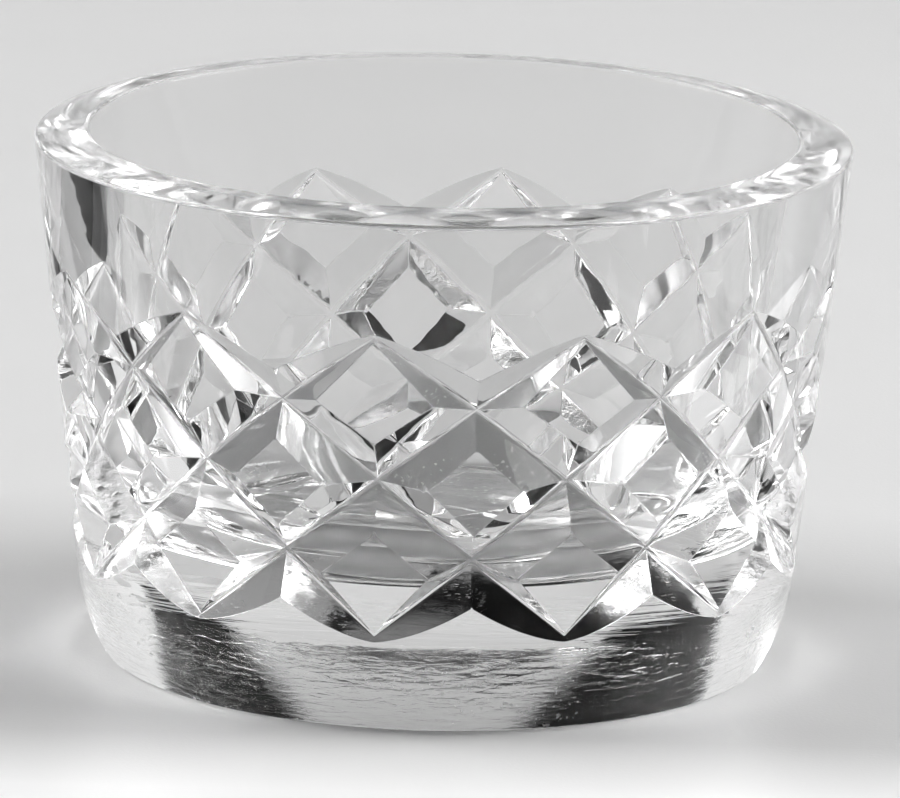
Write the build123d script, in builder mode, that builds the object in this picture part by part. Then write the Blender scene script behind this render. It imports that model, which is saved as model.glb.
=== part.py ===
"""Open salt cellar of cut crystal.

One piece of thick clear glass: a tapered round dish with a deep bowl, a crowned rim, a curved heel and a
flat ground base. A band of mitre cuts crosses its side in two directions and leaves rows of flat-topped
diamonds. Each cut is a V, straight from crossing to crossing, deepest in the middle and running out at both
ends. The wheel that cuts it follows only a part of the side's twist, so towards the ends the V leans over.

The frame: millimetres, +Z up, origin at the middle of the base, on the surface that the dish stands on.
"""

import os
from math import atan, atan2, cos, hypot, pi, radians, sin, sqrt, tan

from build123d import *

# Outside of the dish
rim_diameter = 65.0  # where the straight side would meet the top
height = 42.1
base_diameter = 55.68  # where the straight side would meet the table
foot_inset = 1.49  # from there in to where the heel would meet the table
foot_edge_bevel = 0.3
heel_height = 3.54  # where the heel would meet the straight side
heel_radius = 17.0
heel_flat = 0.1  # least straight stretch between the heel's curve and the foot's bevel

# Rim
rim_width = 4.4
rim_crown_drop = 0.65  # how much lower the rim's outer edge is than its top
rim_crown_inset = 1.0  # from the inner edge to the highest line of the rim
rim_edge_bevel = 0.3

# Bowl
floor_thickness = 10.6
bowl_wall_thickness = 5.5  # at the level of the bowl's floor
bowl_corner_radius = 9.5

# Band of mitre cuts
cuts_each_way = 12
diamond_rows = 3
cut_top_height = 32.3  # where the cuts of the two directions cross for the last time, above
cut_bottom_height = 8.0  # and below
cut_depth = 1.85  # where two cuts cross at their middles
cut_wall_angle = 35.0  # between the side and each wall of a cut that doesn't lean
cut_overrun_top = 0.06  # how far a cut runs past its last crossing, in diamond sides
cut_overrun_bottom = 0.14
wheel_lean_top = 0.4  # share of the side's twist that the wheel doesn't follow
wheel_lean_bottom = 0.85
cutter_clearance = 1.2  # how far the cutter stands out of the glass
cutter_lap = 1.0  # how far each stretch of the cutter is made past its crossing, before it is mitred there
cutter_lift_out = 3.0  # how far the cutter goes on past the end of its cut

rim_radius = rim_diameter / 2
base_radius = base_diameter / 2
side_slope = (rim_radius - base_radius) / height
side_angle = atan(side_slope)


def side_radius(z):
    """Radius of the uncut side at a height."""
    return base_radius + side_slope * z


# Corners of the dish's section
foot_radius = base_radius - foot_inset
heel_corner_radius = side_radius(heel_height)
heel_run = heel_corner_radius - foot_radius
heel_bend = pi / 2 - side_angle - atan2(heel_height, heel_run)
heel_room = hypot(heel_run, heel_height) - foot_edge_bevel - heel_flat
heel_rounding = min(heel_radius, heel_room / tan(heel_bend / 2))
rim_outer_height = height - rim_crown_drop
rim_outer_radius = side_radius(rim_outer_height)
bowl_rim_radius = rim_radius - rim_width
bowl_floor_radius = side_radius(floor_thickness) - bowl_wall_thickness
crown_reach = rim_outer_radius - bowl_rim_radius - rim_crown_inset
crown_radius = (crown_reach**2 + rim_crown_drop**2) / (2 * rim_crown_drop)
rim_inner_height = height - crown_radius + sqrt(crown_radius**2 - rim_crown_inset**2)

# The cuts: from one crossing to the next they go one step down and one step around
half_steps = diamond_rows + 1
step_turn = pi / cuts_each_way
step_height = (cut_top_height - cut_bottom_height) / half_steps
last_step = half_steps / 2
cutter_height = cut_depth + cutter_clearance
cutter_half_top = cutter_height / tan(radians(cut_wall_angle))


def outward_at(step, hand):
    """Direction square to the side, on the course of a cut. Steps are counted down from the cut's middle."""
    turn = hand * step_turn * step
    return Vector(cos(turn) * cos(side_angle), sin(turn) * cos(side_angle), -sin(side_angle))


def last_reach(way):
    """Steps from the middle of a cut to its end, above or below."""
    return last_step + (cut_overrun_bottom if way > 0 else cut_overrun_top)


def root_point(step, hand):
    """Point on the root of a cut."""
    turn = hand * step_turn * step
    z = (cut_top_height + cut_bottom_height) / 2 - step_height * step
    on_side = Vector(side_radius(z) * cos(turn), side_radius(z) * sin(turn), z)
    return on_side - outward_at(step, hand) * (cut_depth * (1 - (step / last_reach(step)) ** 2))


def crossing_plane(step, hand):
    """Plane square to the course of a cut, through its root."""
    ahead = root_point(step + 0.01, hand) - root_point(step - 0.01, hand)
    return Plane(root_point(step, hand), z_dir=ahead)


def cutter_section(root, across, course):
    """The cutter's V section, with its root at a point and opening out of the glass."""
    with BuildSketch(Plane(root, x_dir=across, z_dir=course)) as section:
        with BuildLine():
            Polyline((0, 0), (cutter_half_top, cutter_height), (-cutter_half_top, cutter_height), close=True)
        make_face()
    return section.sketch


def straight_stretch(start_step, end_step, hand):
    """Cutter for the V from one crossing to the next, or from the last full crossing to the end of the cut."""
    start = root_point(start_step, hand)
    end = root_point(end_step, hand)
    course = (end - start).normalized()
    middle = (start_step + end_step) / 2
    lean = wheel_lean_bottom if middle > 0 else wheel_lean_top
    across = outward_at(middle * (1 - lean), hand).cross(course).normalized()
    lift_out_above = start_step == -last_reach(-1)
    lift_out_below = end_step == last_reach(1)
    before = cutter_lift_out if lift_out_above else cutter_lap
    after = cutter_lift_out if lift_out_below else cutter_lap
    with BuildPart() as stretch:
        section = cutter_section(start - course * before, across, course)
        extrude(section, amount=(end - start).length + before + after)
        if not lift_out_above:
            split(bisect_by=crossing_plane(start_step, hand), keep=Keep.TOP)
        if not lift_out_below:
            split(bisect_by=crossing_plane(end_step, hand), keep=Keep.BOTTOM)
    return stretch.part


def mitre_cutter(hand):
    """Cutter for one whole cut."""
    full_crossings = [crossing - last_step for crossing in range(1, half_steps)]
    ends = [-last_reach(-1), *full_crossings, last_reach(1)]
    with BuildPart() as cutter:
        add([straight_stretch(start, end, hand) for start, end in zip(ends, ends[1:])])
    return cutter.part


right_cutter = mitre_cutter(1)
left_cutter = mitre_cutter(-1)

with BuildPart() as glass_bowl:
    with BuildSketch(Plane.XZ):
        with BuildLine():
            Line((0, 0), (foot_radius, 0))
            Line((foot_radius, 0), (heel_corner_radius, heel_height))
            Line((heel_corner_radius, heel_height), (rim_outer_radius, rim_outer_height))
            RadiusArc((rim_outer_radius, rim_outer_height), (bowl_rim_radius, rim_inner_height), -crown_radius)
            Line((bowl_rim_radius, rim_inner_height), (bowl_floor_radius, floor_thickness))
            Line((bowl_floor_radius, floor_thickness), (0, floor_thickness))
            Line((0, floor_thickness), (0, 0))
        make_face()
        fillet(vertices().sort_by_distance((heel_corner_radius, heel_height))[0], heel_rounding)
        chamfer(vertices().sort_by_distance((foot_radius, 0))[0], foot_edge_bevel)
        fillet(vertices().sort_by_distance((bowl_floor_radius, floor_thickness))[0], bowl_corner_radius)
        chamfer(vertices().sort_by_distance((rim_outer_radius, rim_outer_height))[0], rim_edge_bevel)
        chamfer(vertices().sort_by_distance((bowl_rim_radius, rim_inner_height))[0], rim_edge_bevel)
    revolve(axis=Axis.Z)
    with PolarLocations(0, cuts_each_way):
        add(right_cutter, mode=Mode.SUBTRACT)
    with PolarLocations(0, cuts_each_way):
        add(left_cutter, mode=Mode.SUBTRACT)

glass_bowl.part.label = "glass_bowl"
os.makedirs("parts", exist_ok=True)
export_step(glass_bowl.part, "parts/glass_bowl.step")
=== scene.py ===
"""Looks of the open salt cellar: clear cut crystal on a pale table.

The dish is one mesh. Its round parts are turned from a rounded section. The cut band is laid out on the
unrolled side of the dish, where every mitre cut is a straight line, and then pressed into the glass by the
depth of the cuts. Sizes of the dish are in millimetres, as on the part's drawing, and become metres in the
mesh. Places in the materials and the studio are in metres.
"""

from math import atan2, cos, pi, radians, sin, tan

import bpy
import numpy as np
from mathutils import Matrix, Vector
from mathutils.geometry import delaunay_2d_cdt


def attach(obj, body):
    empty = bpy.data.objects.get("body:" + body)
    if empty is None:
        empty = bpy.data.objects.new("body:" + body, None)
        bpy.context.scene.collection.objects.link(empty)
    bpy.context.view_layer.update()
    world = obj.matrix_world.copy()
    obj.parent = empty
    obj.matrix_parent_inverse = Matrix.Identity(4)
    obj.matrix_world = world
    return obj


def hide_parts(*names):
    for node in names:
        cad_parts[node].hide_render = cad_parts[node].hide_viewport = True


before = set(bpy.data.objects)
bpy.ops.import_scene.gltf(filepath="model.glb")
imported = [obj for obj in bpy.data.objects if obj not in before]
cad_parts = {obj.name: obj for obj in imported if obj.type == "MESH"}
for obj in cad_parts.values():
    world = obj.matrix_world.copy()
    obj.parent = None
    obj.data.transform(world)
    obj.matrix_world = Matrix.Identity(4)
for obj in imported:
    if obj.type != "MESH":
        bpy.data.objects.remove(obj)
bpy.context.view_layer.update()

MM = 0.001

# Outside of the dish
RIM_RADIUS = 32.5  # where the straight side would meet the top
HEIGHT = 42.1
BASE_RADIUS = 27.84  # where the straight side would meet the table
FOOT_RADIUS = 26.35  # where the heel would meet the table
FOOT_EDGE_RADIUS = 0.35
HEEL_HEIGHT = 3.54  # where the heel would meet the straight side
HEEL_RADIUS = 17.0

# Rim and bowl
RIM_WIDTH = 4.4
RIM_CROWN_DROP = 0.65
RIM_CROWN_RADIUS = 7.5
RIM_CROWN_CORNER = 1.75  # from the rim's outer edge to where its two slopes would meet
RIM_EDGE_RADIUS = 0.4
FLOOR_THICKNESS = 10.6
BOWL_WALL = 5.5  # at the level of the bowl's floor
BOWL_CORNER_RADIUS = 9.5

# Band of mitre cuts, counted in steps from one crossing to the next
CUTS_EACH_WAY = 12
CUT_TOP = 32.3
CUT_BOTTOM = 8.0
STEPS = 4
CUT_DEPTH = 1.84  # at the middle of a cut
CUT_SLOPE = radians(35)  # of both walls at the middle of a cut
CUT_LEAN_TOP = 0.06  # by which the wheel leans for each step from the middle, in radians
CUT_LEAN_BOTTOM = 0.14
CUT_RUN_OUT = 0.92  # power of the curve by which a cut runs out
CUT_ROOT = 0.16  # half the width of the flat root at the middle of a cut
CUT_ROOT_EDGE = 0.06  # rounding between the root and the walls
CUT_TOP_STEPS = 2.05  # steps from the middle at which a cut ends
CUT_BOTTOM_STEPS = 2.07
EDGE_BEVEL = 0.05  # half the width of the polished edges
BAND_LOW = 6.9
BAND_HIGH = 35.3

# Fineness of the mesh
TURNS_PER_STEP = 12
BAND_GRID = 0.7
LINE_STEP = 0.35
STEP_SLANT = 1.6  # length of a step along a cut, for each millimetre of its height
LINE_OVERLAP = 0.12  # how far lines go past both ends of the first step
ROOT_LINES = (-0.08, 0, 0.08, 0.25)  # lines beside the edge of a root
ROOT_LINE_LEAST = 0.02  # least distance of these lines from the middle of the root
ROOT_LINE_ROOM = 0.1  # least distance from these lines to the edge of the cut
RIDGE_REACH = 2.5  # how far above and below a crossing its ridges are looked for
RIDGE_HEIGHTS = 600
RIDGE_TURNS = np.linspace(0.002, 0.12, 40)
CUT_LINE_ROUNDS = 4  # of approximation
ROUNDING_STEPS = 6  # least number of steps around a rounded corner
SAME_POINT = 1e-5
SAME_TURN = 1e-6
LEAST_AREA = 1e-9
SMALL_STEP = 1e-4  # for the slopes that give the normals
TURN_PARTS = 1000  # parts of a turn of the rings, by which points are told apart
HEIGHT_PARTS = 10000  # and parts of a millimetre

SIDE_SLOPE = (RIM_RADIUS - BASE_RADIUS) / HEIGHT
SIDE_ANGLE = atan2(RIM_RADIUS - BASE_RADIUS, HEIGHT)
STEP_TURN = pi / CUTS_EACH_WAY
STEP_HEIGHT = (CUT_TOP - CUT_BOTTOM) / STEPS
STEP_ALONG = STEP_HEIGHT / cos(SIDE_ANGLE)
CUT_MIDDLE = (CUT_TOP + CUT_BOTTOM) / 2
CROSSINGS = [CUT_TOP - STEP_HEIGHT * i for i in range(STEPS + 1)]
RING_TURNS = 2 * CUTS_EACH_WAY * TURNS_PER_STEP
RING_TURN = 2 * pi / RING_TURNS


def side_radius(z):
    """Radius of the uncut side at a height."""
    return BASE_RADIUS + SIDE_SLOPE * z


MIDDLE_RADIUS = side_radius(CUT_MIDDLE)
# Every cut whose walls can reach the first step of the pattern: its hand and the turn of its middle
CUTS = [(hand, 2 * STEP_TURN * n) for hand in (1, -1) for n in range(-2, 3)]


def cut_course(hand, middle, turn, z):
    """Place of a point beside a cut: steps along it from its middle, and millimetres across from its root."""
    down = (CUT_MIDDLE - z) / STEP_HEIGHT
    off = hand * (turn - middle) / STEP_TURN - down
    around = STEP_TURN * side_radius(z)
    length = np.hypot(around, STEP_ALONG)
    return down + off * (around / length) ** 2, off * around * STEP_ALONG / length


def root_depth(steps):
    """Depth of a cut at its root: the wheel goes deepest in the middle and runs out at both ends."""
    share = steps / np.where(steps < 0, CUT_TOP_STEPS, CUT_BOTTOM_STEPS)
    return CUT_DEPTH * np.maximum(0, 1 - share**2) ** CUT_RUN_OUT


def root_edge(steps):
    """Half the width of the flat root, which narrows towards the ends."""
    return CUT_ROOT * np.sqrt(root_depth(steps) / CUT_DEPTH)


def wall_slopes(steps):
    """Slopes of the upper and the lower wall. The wheel leans over, more and more towards the ends."""
    lean = steps * np.where(steps < 0, CUT_LEAN_TOP, CUT_LEAN_BOTTOM)
    return np.tan(CUT_SLOPE + lean), np.tan(CUT_SLOPE - lean)


def ramp(across):
    """Millimetres up a wall, with a rounded start."""
    return (across + np.hypot(across, CUT_ROOT_EDGE)) / 2


def cut_depth(hand, middle, turn, z):
    """Depth of a cut under the side. It is negative outside the cut."""
    steps, across = cut_course(hand, middle, turn, z)
    upper, lower = wall_slopes(steps)
    root = root_edge(steps)
    return root_depth(steps) - upper * ramp(across - root) - lower * ramp(-across - root)


def deepest_cut(turn, z):
    """Index of the deepest cut at each point, or -1 on the uncut side, and its depth there."""
    depths = np.array([cut_depth(hand, middle, turn, z) for hand, middle in CUTS])
    best = depths.argmax(axis=0)
    depth = depths.max(axis=0)
    return np.where(depth > 0, best, -1), np.maximum(depth, 0)


def on_side(turn, z, depth):
    """Points under the side of the dish at a depth, square to the side."""
    radius = side_radius(z) - depth * cos(SIDE_ANGLE)
    return np.stack([radius * np.cos(turn), radius * np.sin(turn), z + depth * sin(SIDE_ANGLE)], axis=-1)


def band_surface(turn, z):
    """Points and normals of the cut band. At an edge each point keeps the normal of its own side."""
    which, depth = deepest_cut(turn, z)

    def pressed(turn, z):
        depth = np.zeros_like(turn)
        for i, (hand, middle) in enumerate(CUTS):
            here = which == i
            depth[here] = cut_depth(hand, middle, turn[here], z[here])
        return on_side(turn, z, depth)

    around = pressed(turn + SMALL_STEP, z) - pressed(turn - SMALL_STEP, z)
    upward = pressed(turn, z + SMALL_STEP) - pressed(turn, z - SMALL_STEP)
    normals = np.cross(around, upward)
    normals /= np.linalg.norm(normals, axis=1)[:, None]
    # Where a step meets its mirror image, the normal lies in the mirror
    on_mirror = (turn == 0) | (turn == STEP_TURN)
    facing = np.stack([np.cos(turn), np.sin(turn)], axis=1)
    straight = facing * np.sum(normals[:, :2] * facing, axis=1)[:, None]
    normals[on_mirror, :2] = straight[on_mirror]
    normals /= np.linalg.norm(normals, axis=1)[:, None]
    return on_side(turn, z, depth), normals


def cut_line(hand, middle, steps, across):
    """Turns and heights of the points at given steps along a cut and millimetres across from its root."""
    z = CUT_MIDDLE - steps * STEP_HEIGHT
    for _ in range(CUT_LINE_ROUNDS):
        around = STEP_TURN * side_radius(z)
        length = np.hypot(around, STEP_ALONG)
        off = across * length / (around * STEP_ALONG)
        down = steps - off * (around / length) ** 2
        z = CUT_MIDDLE - down * STEP_HEIGHT
    return middle + hand * STEP_TURN * (down + off), z


def runs(keep):
    """Start and end of each run of true values."""
    edges = np.flatnonzero(np.diff(np.concatenate([[0], keep.astype(int), [0]])))
    return zip(edges[::2], edges[1::2])


def within_step(turn, z, keep):
    """The stretches of a line that are kept and lie on the first step of the pattern."""
    reach = LINE_OVERLAP / MIDDLE_RADIUS
    for start, end in runs(keep & (turn > -reach) & (turn < STEP_TURN + reach)):
        if end - start > 1:
            yield turn[start:end], z[start:end]


def root_and_edge_lines():
    """Lines along the root of every cut and on both sides of its edges."""
    count = int((CUT_TOP_STEPS + CUT_BOTTOM_STEPS) * STEP_ALONG * STEP_SLANT / LINE_STEP)
    steps = np.linspace(-CUT_TOP_STEPS, CUT_BOTTOM_STEPS, count)
    root = root_edge(steps)

    def line(cut, across, owner, room=True):
        turn, z = cut_line(*cut, steps, across)
        return within_step(turn, z, (deepest_cut(turn, z)[0] == owner) & room)

    for i, cut in enumerate(CUTS):
        yield from line(cut, np.zeros_like(steps), i)
        for side, slope in zip((1, -1), wall_slopes(steps)):
            edge = root + root_depth(steps) / slope
            for beside in ROOT_LINES:
                apart = root + beside
                room = (apart > ROOT_LINE_LEAST) & (edge > apart + ROOT_LINE_ROOM)
                yield from line(cut, side * apart, i, room)
            yield from line(cut, side * (edge - EDGE_BEVEL), i, edge > root + 2 * EDGE_BEVEL)
            yield from line(cut, side * (edge + EDGE_BEVEL), -1)


def upright_ridges():
    """Both sides of the ridges between two cuts that stand at the ends of the step."""
    z = np.arange(BAND_LOW, BAND_HIGH, LINE_STEP)
    beside = EDGE_BEVEL / MIDDLE_RADIUS
    for turn in (beside, STEP_TURN - beside):
        yield np.full_like(z, turn), z


def level_ridges():
    """Both sides of the ridges that run sideways from each crossing, where two cuts are equally deep."""
    for row, level in enumerate(CROSSINGS):
        start, way = (0, 1) if row % 2 == 0 else (STEP_TURN, -1)
        pair = [(hand, start - hand * (row - STEPS / 2) * STEP_TURN) for hand in (1, -1)]
        heights = np.linspace(level - RIDGE_REACH, level + RIDGE_REACH, RIDGE_HEIGHTS)
        ridge = []
        for beside in RIDGE_TURNS:
            turns = np.full_like(heights, start + way * beside)
            depths = [cut_depth(*cut, turns, heights) for cut in pair]
            gap = np.where(np.minimum(*depths) > 0, depths[0] - depths[1], np.nan)
            change = np.flatnonzero(gap[:-1] * gap[1:] < 0)
            if len(change):
                ridge.append((turns[0], heights[change[0]]))
        if len(ridge) > 1:
            turn, z = np.array(ridge).T
            for side in (-1, 1):
                yield turn, z + side * EDGE_BEVEL


def band_step():
    """Mesh of one step of the band, on the unrolled side: turns, heights and triangles."""
    points = []
    edges = []

    def add_line(turn, z):
        first = len(points)
        points.extend(zip(turn * MIDDLE_RADIUS, z))
        edges.extend((i, i + 1) for i in range(first, len(points) - 1))

    width = STEP_TURN * MIDDLE_RADIUS
    level = np.linspace(0, STEP_TURN, TURNS_PER_STEP + 1)
    upright = np.linspace(BAND_LOW, BAND_HIGH, int((BAND_HIGH - BAND_LOW) / LINE_STEP))
    for z in (BAND_LOW, BAND_HIGH):
        add_line(level, np.full_like(level, z))
    for turn in (0, STEP_TURN):
        add_line(np.full_like(upright, turn), upright)
    for turn, z in (*root_and_edge_lines(), *upright_ridges(), *level_ridges()):
        add_line(turn, z)
    for z in np.arange(BAND_LOW + BAND_GRID / 2, BAND_HIGH, BAND_GRID):
        for x in np.arange(BAND_GRID / 2, width, BAND_GRID):
            points.append((x, z))
    found = delaunay_2d_cdt([Vector(p) for p in points], edges, [], 0, SAME_POINT)
    flat = np.array([tuple(v) for v in found[0]])
    triangles = np.array([f for f in found[2] if len(f) == 3])
    x, z = flat[triangles].mean(axis=1).T
    inside = (x > 0) & (x < width) & (z > BAND_LOW) & (z < BAND_HIGH)
    a, b, c = (flat[triangles[:, i]] for i in range(3))
    area = (b - a)[:, 0] * (c - a)[:, 1] - (b - a)[:, 1] * (c - a)[:, 0]
    used, corners = np.unique(triangles[inside & (np.abs(area) > LEAST_AREA)], return_inverse=True)
    turn = np.clip(flat[used, 0] / MIDDLE_RADIUS, 0, STEP_TURN)
    turn[np.abs(turn) < SAME_TURN] = 0
    turn[np.abs(turn - STEP_TURN) < SAME_TURN] = STEP_TURN
    return turn, flat[used, 1], corners.reshape(-1, 3)


def rounded(corners):
    """Points and normals of a section from its corners: radius, height and rounding. Glass is on its left."""
    places = [Vector(c[:2]) for c in corners]
    section = []
    for i, (place, (_, _, rounding)) in enumerate(zip(places, corners)):
        if rounding == 0:
            ahead = (places[i + 1] - place if i + 1 < len(places) else place - places[i - 1]).normalized()
            section.append((place, Vector((ahead.y, -ahead.x))))
            continue
        before = (place - places[i - 1]).normalized()
        after = (places[i + 1] - place).normalized()
        bend = before.angle_signed(after) * -1
        start = place - before * (rounding * tan(abs(bend) / 2))
        outward = Vector((before.y, -before.x))
        way = 1 if bend > 0 else -1
        centre = start - outward * (rounding * way)
        count = max(ROUNDING_STEPS, int(abs(bend) * rounding / LINE_STEP))
        for k in range(count + 1):
            normal = Matrix.Rotation(bend * k / count, 2) @ outward
            section.append((centre + normal * (rounding * way), normal))
    return section


def point_key(turn, height):
    """Whole numbers by which the shared points of neighbouring steps are found again."""
    return round(turn / RING_TURN * TURN_PARTS) % (RING_TURNS * TURN_PARTS), round(height * HEIGHT_PARTS)


class DishMesh:
    """Points, true normals and faces of the dish."""

    def __init__(self):
        self.points = []
        self.normals = []
        self.faces = []
        self.band_points = {}

    def add_point(self, place, normal):
        """Add a point in millimetres and give its number."""
        self.points.append(place * MM)
        self.normals.append(normal)
        return len(self.points) - 1

    def add_band(self):
        """The cut band: copies of its first step, every other one mirrored, with shared points between."""
        turn, z, triangles = band_step()
        points, normals = band_surface(turn, z)
        for copy in range(2 * CUTS_EACH_WAY):
            way = 1 if copy % 2 == 0 else -1
            start = STEP_TURN * (copy if way > 0 else copy + 1)
            spin = np.array([[cos(start), -sin(start), 0], [sin(start), cos(start), 0], [0, 0, 1]])
            flip = np.array([1, way, 1])
            places = (points * flip) @ spin.T
            facings = (normals * flip) @ spin.T
            index = []
            for i in range(len(turn)):
                key = point_key(start + way * turn[i], z[i])
                if key not in self.band_points:
                    self.band_points[key] = self.add_point(places[i], facings[i])
                index.append(self.band_points[key])
            self.faces += [(index[a], index[b], index[c])[::way] for a, b, c in triangles]

    def band_ring(self, height):
        """The ring of points at the lower or the upper end of the band."""
        return [self.band_points[point_key(RING_TURN * i, height)] for i in range(RING_TURNS)]

    def add_ring(self, place, normal):
        """A ring of points turned from a point of the section."""
        upward = np.array([0, 0, 1])
        ring = []
        for i in range(RING_TURNS):
            facing = np.array([cos(RING_TURN * i), sin(RING_TURN * i), 0])
            spot = facing * place.x + upward * place.y
            ring.append(self.add_point(spot, facing * normal.x + upward * normal.y))
        return ring

    def join(self, rings):
        """Faces between each ring and the next."""
        for low, high in zip(rings, rings[1:]):
            for i in range(RING_TURNS):
                k = (i + 1) % RING_TURNS
                self.faces.append((low[i], low[k], high[k], high[i]))

    def cap(self, rim, height, way):
        """Close a ring with a flat disc that faces up (1) or down (-1)."""
        centre = self.add_point(np.array([0, 0, height]), np.array([0, 0, way]))
        for i in range(RING_TURNS):
            self.faces.append((rim[i], rim[(i + 1) % RING_TURNS], centre)[::way])


def glass_dish():
    """The whole dish as one mesh."""
    dish_mesh = DishMesh()
    dish_mesh.add_band()
    heel = rounded(
        [
            (0, 0, 0),
            (FOOT_RADIUS, 0, FOOT_EDGE_RADIUS),
            (side_radius(HEEL_HEIGHT), HEEL_HEIGHT, HEEL_RADIUS),
            (side_radius(BAND_LOW), BAND_LOW, 0),
        ]
    )
    rings = [dish_mesh.add_ring(*point) for point in heel[1:-1]] + [dish_mesh.band_ring(BAND_LOW)]
    dish_mesh.join(rings)
    dish_mesh.cap(rings[0], 0, -1)
    rim_outer = HEIGHT - RIM_CROWN_DROP
    rim_and_bowl = rounded(
        [
            (side_radius(BAND_HIGH), BAND_HIGH, 0),
            (side_radius(rim_outer), rim_outer, RIM_EDGE_RADIUS),
            (side_radius(rim_outer) - RIM_CROWN_CORNER, HEIGHT, RIM_CROWN_RADIUS),
            (RIM_RADIUS - RIM_WIDTH, HEIGHT, RIM_EDGE_RADIUS),
            (side_radius(FLOOR_THICKNESS) - BOWL_WALL, FLOOR_THICKNESS, BOWL_CORNER_RADIUS),
            (0, FLOOR_THICKNESS, 0),
        ]
    )
    rings = [dish_mesh.band_ring(BAND_HIGH)] + [dish_mesh.add_ring(*point) for point in rim_and_bowl[1:-1]]
    dish_mesh.join(rings)
    dish_mesh.cap(rings[-1], FLOOR_THICKNESS, 1)
    mesh = bpy.data.meshes.new("glass_dish")
    mesh.from_pydata(dish_mesh.points, [], dish_mesh.faces)
    mesh.shade_smooth()
    mesh.normals_split_custom_set_from_vertices([Vector(n) for n in dish_mesh.normals])
    dish = bpy.data.objects.new("glass_dish", mesh)
    bpy.context.collection.objects.link(dish)
    return dish


def noise(tree, where, scale, detail, distortion=0):
    """Noise texture at a place, in features per metre."""
    texture = tree.nodes.new("ShaderNodeTexNoise")
    texture.inputs["Scale"].default_value = scale
    texture.inputs["Detail"].default_value = detail
    texture.inputs["Distortion"].default_value = distortion
    tree.links.new(where, texture.inputs["Vector"])
    return texture.outputs["Fac"]


def spread(tree, value, low, high, to_low, to_high):
    """A value mapped from one range to another and kept inside it."""
    node = tree.nodes.new("ShaderNodeMapRange")
    for name, number in (("From Min", low), ("From Max", high), ("To Min", to_low), ("To Max", to_high)):
        node.inputs[name].default_value = number
    tree.links.new(value, node.inputs["Value"])
    return node.outputs["Result"]


def maths(tree, operation, a, b):
    """Sum, product and the like of two values, each a socket or a number."""
    node = tree.nodes.new("ShaderNodeMath")
    node.operation = operation
    for value, socket in ((a, node.inputs[0]), (b, node.inputs[1])):
        if isinstance(value, (int, float)):
            socket.default_value = value
        else:
            tree.links.new(value, socket)
    return node.outputs["Value"]


def relief(tree, shader, height, strength, distance):
    """Let a height from 0 to 1 stand out of the surface by a distance."""
    bump = tree.nodes.new("ShaderNodeBump")
    bump.inputs["Strength"].default_value = strength
    bump.inputs["Distance"].default_value = distance
    tree.links.new(height, bump.inputs["Height"])
    tree.links.new(bump.outputs["Normal"], shader.inputs["Normal"])


def axis_of(tree, where, axis):
    """One coordinate of a place."""
    node = tree.nodes.new("ShaderNodeSeparateXYZ")
    tree.links.new(where, node.inputs["Vector"])
    return node.outputs[axis]


def stretched(tree, where, factors):
    """A place with its coordinates multiplied, so that a texture there is squeezed."""
    node = tree.nodes.new("ShaderNodeVectorMath")
    node.operation = "MULTIPLY"
    node.inputs[1].default_value = factors
    tree.links.new(where, node.inputs[0])
    return node.outputs["Vector"]


# Crystal
REFRACTION = 1.54
CLEARNESS = 0.89
WORN_CLEARNESS = 0.8
MIRROR_STRENGTH = 0.1  # below that of real crystal, so that dark patches stay dark
SURFACE_RELIEF = 0.0001
RIPPLE_RELIEF = 0.12  # share of the surface relief
FEATHER_RELIEF = 0.45
WORN_HEIGHTS = (0.004, 0.0075)  # over which the wear of the heel ends
RIM_HEIGHTS = (0.0412, 0.0415)  # over which the softer polish of the rim begins
RIM_ROUGHNESS = 0.1
SPECK_ROUGHNESS = 0.5
PATCH_EDGE = (0.5, 0.6)  # of the noise, from clean to worn
SPECK_EDGE = (0.61, 0.65)


def crystal():
    """Clear crystal: faintly wavy from polishing, soft on the rim, and scuffed on the base and the heel."""
    material = bpy.data.materials.new("clear_crystal")
    material.use_nodes = True
    tree = material.node_tree
    shader = tree.nodes["Principled BSDF"]
    where = tree.nodes.new("ShaderNodeTexCoord").outputs["Object"]
    height = axis_of(tree, where, "Z")
    low = spread(tree, height, *WORN_HEIGHTS, 1, 0)
    rim = spread(tree, height, *RIM_HEIGHTS, 0, RIM_ROUGHNESS)
    ripple = noise(tree, stretched(tree, where, (1, 1, 3)), scale=130, detail=1)
    feathers = noise(tree, stretched(tree, where, (1, 1, 5)), scale=420, detail=4, distortion=0.6)
    ripple_relief = maths(tree, "MULTIPLY", ripple, RIPPLE_RELIEF)
    feather_relief = maths(tree, "MULTIPLY", feathers, maths(tree, "MULTIPLY", low, FEATHER_RELIEF))
    relief(tree, shader, maths(tree, "ADD", ripple_relief, feather_relief), 1, SURFACE_RELIEF)
    patches = spread(tree, noise(tree, where, scale=90, detail=2), *PATCH_EDGE, 0, 1)
    specks = spread(tree, noise(tree, where, scale=1800, detail=2), *SPECK_EDGE, 0, 1)
    wear = maths(tree, "MULTIPLY", maths(tree, "MULTIPLY", specks, patches), low)
    roughness = maths(tree, "MAXIMUM", maths(tree, "MULTIPLY", wear, SPECK_ROUGHNESS), rim)
    tree.links.new(roughness, shader.inputs["Roughness"])
    tree.links.new(spread(tree, wear, 0, 1, CLEARNESS, WORN_CLEARNESS), shader.inputs["Base Color"])
    shader.inputs["IOR"].default_value = REFRACTION
    shader.inputs["Transmission Weight"].default_value = 1
    shader.inputs["Specular Tint"].default_value = (MIRROR_STRENGTH, MIRROR_STRENGTH, MIRROR_STRENGTH, 1)
    return material


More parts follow.
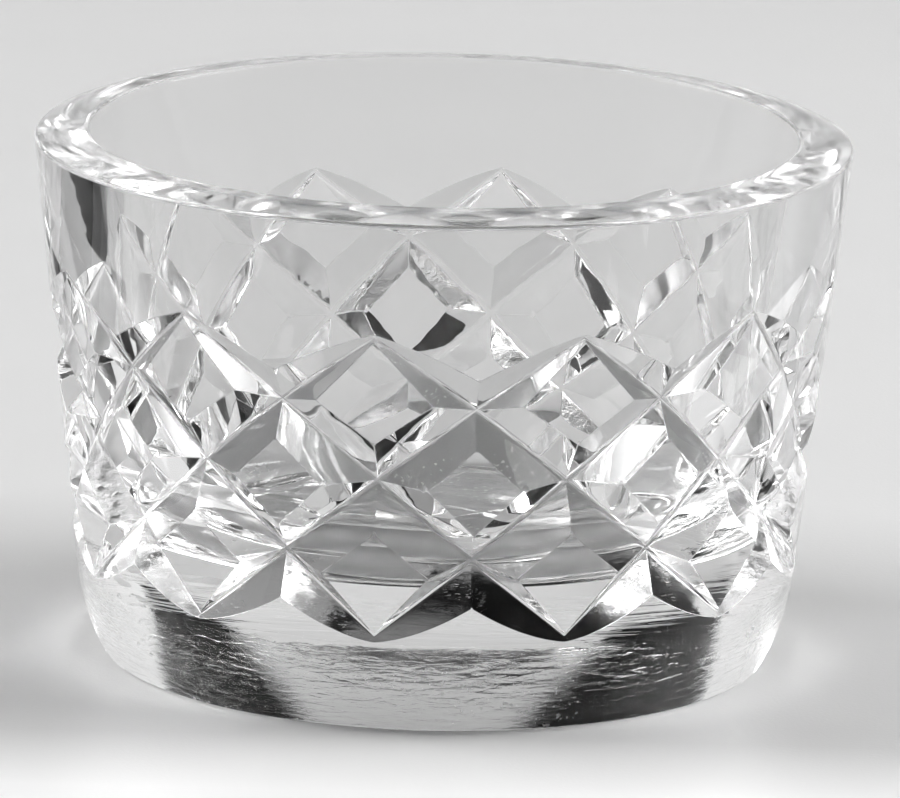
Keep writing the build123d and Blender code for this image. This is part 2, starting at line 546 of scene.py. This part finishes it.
# Papers and cards of the studio
TABLE_COLOUR = 0.48
# Painted light and shade on the table: a glow that only the camera and the glass see, kept off near the dish
# as a painted contact shadow, and brighter in front
PAINTED_LIGHT_AWAY = 0.14
PAINTED_SHADE_DISTANCES = (0.026, 0.06)  # from the middle of the dish, over which the painted shade around it gives way to painted light
PAINTED_LIGHT_FRONT = 0.22
PAINTED_LIGHT_FRONT_PLACES = (-0.044, -0.028)  # in front of the dish, over which this painted light ends
BACKDROP_COLOUR = 0.72
BACKDROP_TOP_COLOUR = 0.01
BACKDROP_TOP = 0.33
LEFT_GREY = 0.38
RIGHT_GREY = 0.5
PAPER_ROUGHNESS = 0.35
PAPER_TOOTH = 0.00005
PAPER_TOOTH_STRENGTH = 0.3
PAPER_CLOUDS = (0.3, 0.7)  # of the noise
PAPER_TONES = (0.985, 1.015)
BLACK = 0.004


def paper_grain():
    """Shared look of the studio's paper: a faintly cloudy tone and a fine tooth."""
    group = bpy.data.node_groups.new("paper_grain", "ShaderNodeTree")
    group.interface.new_socket("Place", in_out="INPUT", socket_type="NodeSocketVector")
    group.interface.new_socket("Tone", in_out="OUTPUT", socket_type="NodeSocketFloat")
    group.interface.new_socket("Tooth", in_out="OUTPUT", socket_type="NodeSocketFloat")
    where = group.nodes.new("NodeGroupInput").outputs["Place"]
    result = group.nodes.new("NodeGroupOutput")
    clouds = noise(group, where, scale=25, detail=4)
    group.links.new(spread(group, clouds, *PAPER_CLOUDS, *PAPER_TONES), result.inputs["Tone"])
    group.links.new(noise(group, where, scale=3000, detail=3), result.inputs["Tooth"])
    return group


def paper(name, colour, top_colour=None):
    """Paper of one colour, or of a colour that goes over to another towards the top of the backdrop."""
    material = bpy.data.materials.new(name)
    material.use_nodes = True
    tree = material.node_tree
    shader = tree.nodes["Principled BSDF"]
    where = tree.nodes.new("ShaderNodeTexCoord").outputs["Object"]
    grain = tree.nodes.new("ShaderNodeGroup")
    grain.node_tree = GRAIN
    tree.links.new(where, grain.inputs["Place"])
    if top_colour is not None:
        colour = spread(tree, axis_of(tree, where, "Z"), 0, BACKDROP_TOP, colour, top_colour)
    tree.links.new(maths(tree, "MULTIPLY", colour, grain.outputs["Tone"]), shader.inputs["Base Color"])
    relief(tree, shader, grain.outputs["Tooth"], PAPER_TOOTH_STRENGTH, PAPER_TOOTH)
    shader.inputs["Roughness"].default_value = PAPER_ROUGHNESS
    return material


def table_with_painted_light():
    """Paper of the table, with painted light: the camera and the glass see it glow brighter away from the
    dish and in front, which leaves a painted contact shadow around the dish.
    """
    material = paper("pale_table_with_painted_light", TABLE_COLOUR)
    tree = material.node_tree
    shader = tree.nodes["Principled BSDF"]
    ray = tree.nodes.new("ShaderNodeLightPath").outputs
    in_glass = maths(tree, "MAXIMUM", ray["Is Glossy Ray"], ray["Is Transmission Ray"])
    seen = maths(tree, "MAXIMUM", ray["Is Camera Ray"], in_glass)
    where = tree.nodes.new("ShaderNodeTexCoord").outputs["Object"]
    distance = tree.nodes.new("ShaderNodeVectorMath")
    distance.operation = "LENGTH"
    tree.links.new(where, distance.inputs[0])
    # Painted light that rises away from the dish, leaving a painted contact shadow near it, and more painted
    # light in front
    away = spread(tree, distance.outputs["Value"], *PAINTED_SHADE_DISTANCES, 0, PAINTED_LIGHT_AWAY)
    front = spread(tree, axis_of(tree, where, "Y"), *PAINTED_LIGHT_FRONT_PLACES, PAINTED_LIGHT_FRONT, 0)
    painted_glow = maths(tree, "MULTIPLY", maths(tree, "ADD", away, front), seen)
    tree.links.new(painted_glow, shader.inputs["Emission Color"])
    shader.inputs["Emission Strength"].default_value = 1
    return material


def black_card():
    """Matt black card."""
    material = bpy.data.materials.new("black_card")
    material.use_nodes = True
    shader = material.node_tree.nodes["Principled BSDF"]
    shader.inputs["Base Color"].default_value = (BLACK, BLACK, BLACK, 1)
    shader.inputs["Roughness"].default_value = 1
    shader.inputs["Specular IOR Level"].default_value = 0
    return material


dish = glass_dish()
dish.data.materials.append(crystal())
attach(dish, "root")
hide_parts("glass_bowl")

# Camera, fitted to the photograph
CAMERA_TURN = radians(9.17)  # the dish in the photograph is turned by this much
CAMERA_RISE = radians(13.48)
CAMERA_ROLL = radians(1.28)
CAMERA_DISTANCE = 0.8901
CAMERA_AIM = Vector((0.00091, 0, 0.02025))
CAMERA_LENS = 447.8
CAMERA_SENSOR = 36

STUDIO = Matrix.Rotation(CAMERA_TURN, 4, "Z")
forward = Vector((0, cos(CAMERA_RISE), -sin(CAMERA_RISE)))
upward = Vector((0, sin(CAMERA_RISE), cos(CAMERA_RISE)))
right = Vector((1, 0, 0))
rolled_right = right * cos(CAMERA_ROLL) + upward * sin(CAMERA_ROLL)
rolled_up = upward * cos(CAMERA_ROLL) - right * sin(CAMERA_ROLL)
place = CAMERA_AIM - forward * CAMERA_DISTANCE
axes = Matrix((rolled_right, rolled_up, -forward)).transposed().to_4x4()
camera_data = bpy.data.cameras.new("camera")
camera_data.lens = CAMERA_LENS
camera_data.sensor_width = CAMERA_SENSOR
camera = bpy.data.objects.new("camera", camera_data)
camera.matrix_world = STUDIO @ Matrix.Translation(place) @ axes
bpy.context.collection.objects.link(camera)
bpy.context.scene.camera = camera

# Studio, as the camera faces it: papers and cards that the glass shows, and soft lights around the dish
TABLE_LEVEL = -0.00005
TABLE_HALF_WIDTH = 0.9
TABLE_FRONT = -1.0
BACKDROP_PLACE = 0.5
BACKDROP_MIDDLE = 0.025
BACKDROP_HALF_WIDTH = 0.28  # where its curved edges would meet the table
BACKDROP_NARROWING = 0.17  # height over which it narrows to 1/e
BACKDROP_POINTS = 40  # on each curved edge
STRIP_LEFT = -0.33
STRIP_RIGHT = 0.45
STRIP_TOP = 0.035
SIDE_PAPER_LEVEL = 0.0002
SIDE_PAPER_END = 0.5
SIDE_PAPER_FRONT = 0.03
SIDE_PAPER_BACK = 0.13
LEFT_PAPER_EDGE = -0.068  # beside the dish
RIGHT_PAPER_EDGE = 0.066
LEFT_CARD_LEVEL = 0.0004
LEFT_CARD_EDGE = -0.085
LEFT_CARD_FRONT = 0.04
LEFT_CARD_BACK = 0.09
BACK_CARD_PLACE = 0.55
BACK_CARD_LEFT = -0.5
BACK_CARD_STEP = 0.12  # where its top steps down
BACK_CARD_RIGHT = 0.36
BACK_CARD_TOP = 0.57
BACK_CARD_LOW_TOP = 0.3
PANEL_SIDE = 0.5
PANEL_BACK = 0.22
PANEL_HEIGHT = 0.26
LAMP_SIDE = 0.48
LAMP_HEIGHT = 0.32
LAMP_SIZE = 0.34
LAMP_AIM = Vector((0, 0, 0.01))


def sheet(name, corners, material):
    """A flat sheet of the studio."""
    mesh = bpy.data.meshes.new(name)
    mesh.from_pydata(corners, [], [tuple(range(len(corners)))])
    mesh.materials.append(material)
    piece = bpy.data.objects.new(name, mesh)
    piece.matrix_world = STUDIO
    bpy.context.collection.objects.link(piece)
    return piece


def lying(name, left, right, front, back, level, material):
    """A sheet lying on the table."""
    sides = [(left, front), (right, front), (right, back), (left, back)]
    sheet(name, [(x, y, level) for x, y in sides], material)


def standing(name, place, outline, material):
    """A sheet behind the dish. It is seen only in the glass, so that it doesn't hide the dish from behind."""
    piece = sheet(name, [(x, place, z) for x, z in outline], material)
    piece.visible_camera = False


def side_paper(name, left, right, material):
    """A grey paper on the table beside the dish."""
    lying(name, left, right, SIDE_PAPER_FRONT, SIDE_PAPER_BACK, SIDE_PAPER_LEVEL, material)


def soft_light(name, place, facing, width, height, power):
    """A soft light with an even face."""
    data = bpy.data.lights.new(name, "AREA")
    data.shape = "RECTANGLE"
    data.size = width
    data.size_y = height
    data.energy = power
    lamp = bpy.data.objects.new(name, data)
    turned = Vector(facing).to_track_quat("-Z", "Y").to_matrix().to_4x4()
    lamp.matrix_world = STUDIO @ Matrix.Translation(place) @ turned
    bpy.context.collection.objects.link(lamp)


def backdrop_outline():
    """The backdrop above its low strip: both edges curve in towards the top."""
    heights = np.linspace(STRIP_TOP, BACKDROP_TOP, BACKDROP_POINTS)
    half_widths = BACKDROP_HALF_WIDTH * np.exp(-heights / BACKDROP_NARROWING)
    right_edge = list(zip(BACKDROP_MIDDLE + half_widths, heights))
    left_edge = list(zip(BACKDROP_MIDDLE - half_widths, heights))
    return right_edge + left_edge[::-1]


def side_panel(name, side):
    """A wide panel beside the dish, on the left (-1) or on the right (1)."""
    place = (side * PANEL_SIDE, PANEL_BACK, PANEL_HEIGHT)
    soft_light(name, place, facing=(-side, 0, 0), width=0.7, height=0.5, power=0.95)


def aimed_lamp(name, place, power):
    """A square lamp beside the dish, aimed at its foot."""
    soft_light(name, place, LAMP_AIM - Vector(place), width=LAMP_SIZE, height=LAMP_SIZE, power=power)


GRAIN = paper_grain()
black = black_card()
pale = paper("pale_backdrop", BACKDROP_COLOUR, BACKDROP_TOP_COLOUR)
lying(
    "table",
    left=-TABLE_HALF_WIDTH,
    right=TABLE_HALF_WIDTH,
    front=TABLE_FRONT,
    back=BACK_CARD_PLACE,
    level=TABLE_LEVEL,
    material=table_with_painted_light(),
)
strip_foot = [(STRIP_LEFT, TABLE_LEVEL), (STRIP_RIGHT, TABLE_LEVEL)]
strip_head = [(STRIP_RIGHT, STRIP_TOP), (STRIP_LEFT, STRIP_TOP)]
standing("low_backdrop", BACKDROP_PLACE, strip_foot + strip_head, pale)
standing("backdrop", BACKDROP_PLACE, backdrop_outline(), pale)
side_paper("left_paper", -SIDE_PAPER_END, LEFT_PAPER_EDGE, paper("grey_paper", LEFT_GREY))
side_paper("right_paper", RIGHT_PAPER_EDGE, SIDE_PAPER_END, paper("light_grey_paper", RIGHT_GREY))
lying(
    "left_card",
    left=-SIDE_PAPER_END,
    right=LEFT_CARD_EDGE,
    front=LEFT_CARD_FRONT,
    back=LEFT_CARD_BACK,
    level=LEFT_CARD_LEVEL,
    material=black,
)
back_card = [
    (BACK_CARD_LEFT, TABLE_LEVEL),
    (BACK_CARD_RIGHT, TABLE_LEVEL),
    (BACK_CARD_RIGHT, BACK_CARD_LOW_TOP),
    (BACK_CARD_STEP, BACK_CARD_LOW_TOP),
    (BACK_CARD_STEP, BACK_CARD_TOP),
    (BACK_CARD_LEFT, BACK_CARD_TOP),
]
standing("back_card", BACK_CARD_PLACE, back_card, black)
side_panel("left_panel", -1)
side_panel("right_panel", 1)
soft_light("back_panel", place=(0.29, 0.62, 0.62), facing=(0, -1, 0), width=0.52, height=0.64, power=0.33)
soft_light("top_panel", place=(0, 0.035, 0.6), facing=(0, 0, -1), width=0.8, height=0.43, power=0.4)
aimed_lamp("left_lamp", (-LAMP_SIDE, 0.05, LAMP_HEIGHT), power=3.0)
aimed_lamp("right_lamp", (LAMP_SIDE, 0, LAMP_HEIGHT), power=3.9)

# The room: grey behind the camera and dark behind the dish
ROOM_FRONT = 0.1
ROOM_BACK = 0.01
ROOM_EDGE = (-0.5, -0.1)  # of the direction, over which it darkens towards the back
world = bpy.data.worlds.new("studio")
world.use_nodes = True
room_tree = world.node_tree
direction = room_tree.nodes.new("ShaderNodeTexCoord").outputs["Generated"]
room = spread(room_tree, axis_of(room_tree, direction, "Y"), *ROOM_EDGE, ROOM_FRONT, ROOM_BACK)
room_tree.links.new(room, room_tree.nodes["Background"].inputs["Color"])
bpy.context.scene.world = world

# Light that goes to and fro inside the glass, and sharp light on the table
BOUNCES = 32
cycles = bpy.context.scene.cycles
cycles.max_bounces = BOUNCES
cycles.transmission_bounces = BOUNCES
cycles.glossy_bounces = BOUNCES
cycles.blur_glossy = 0.2
bpy.context.scene.view_settings.view_transform = "Standard"
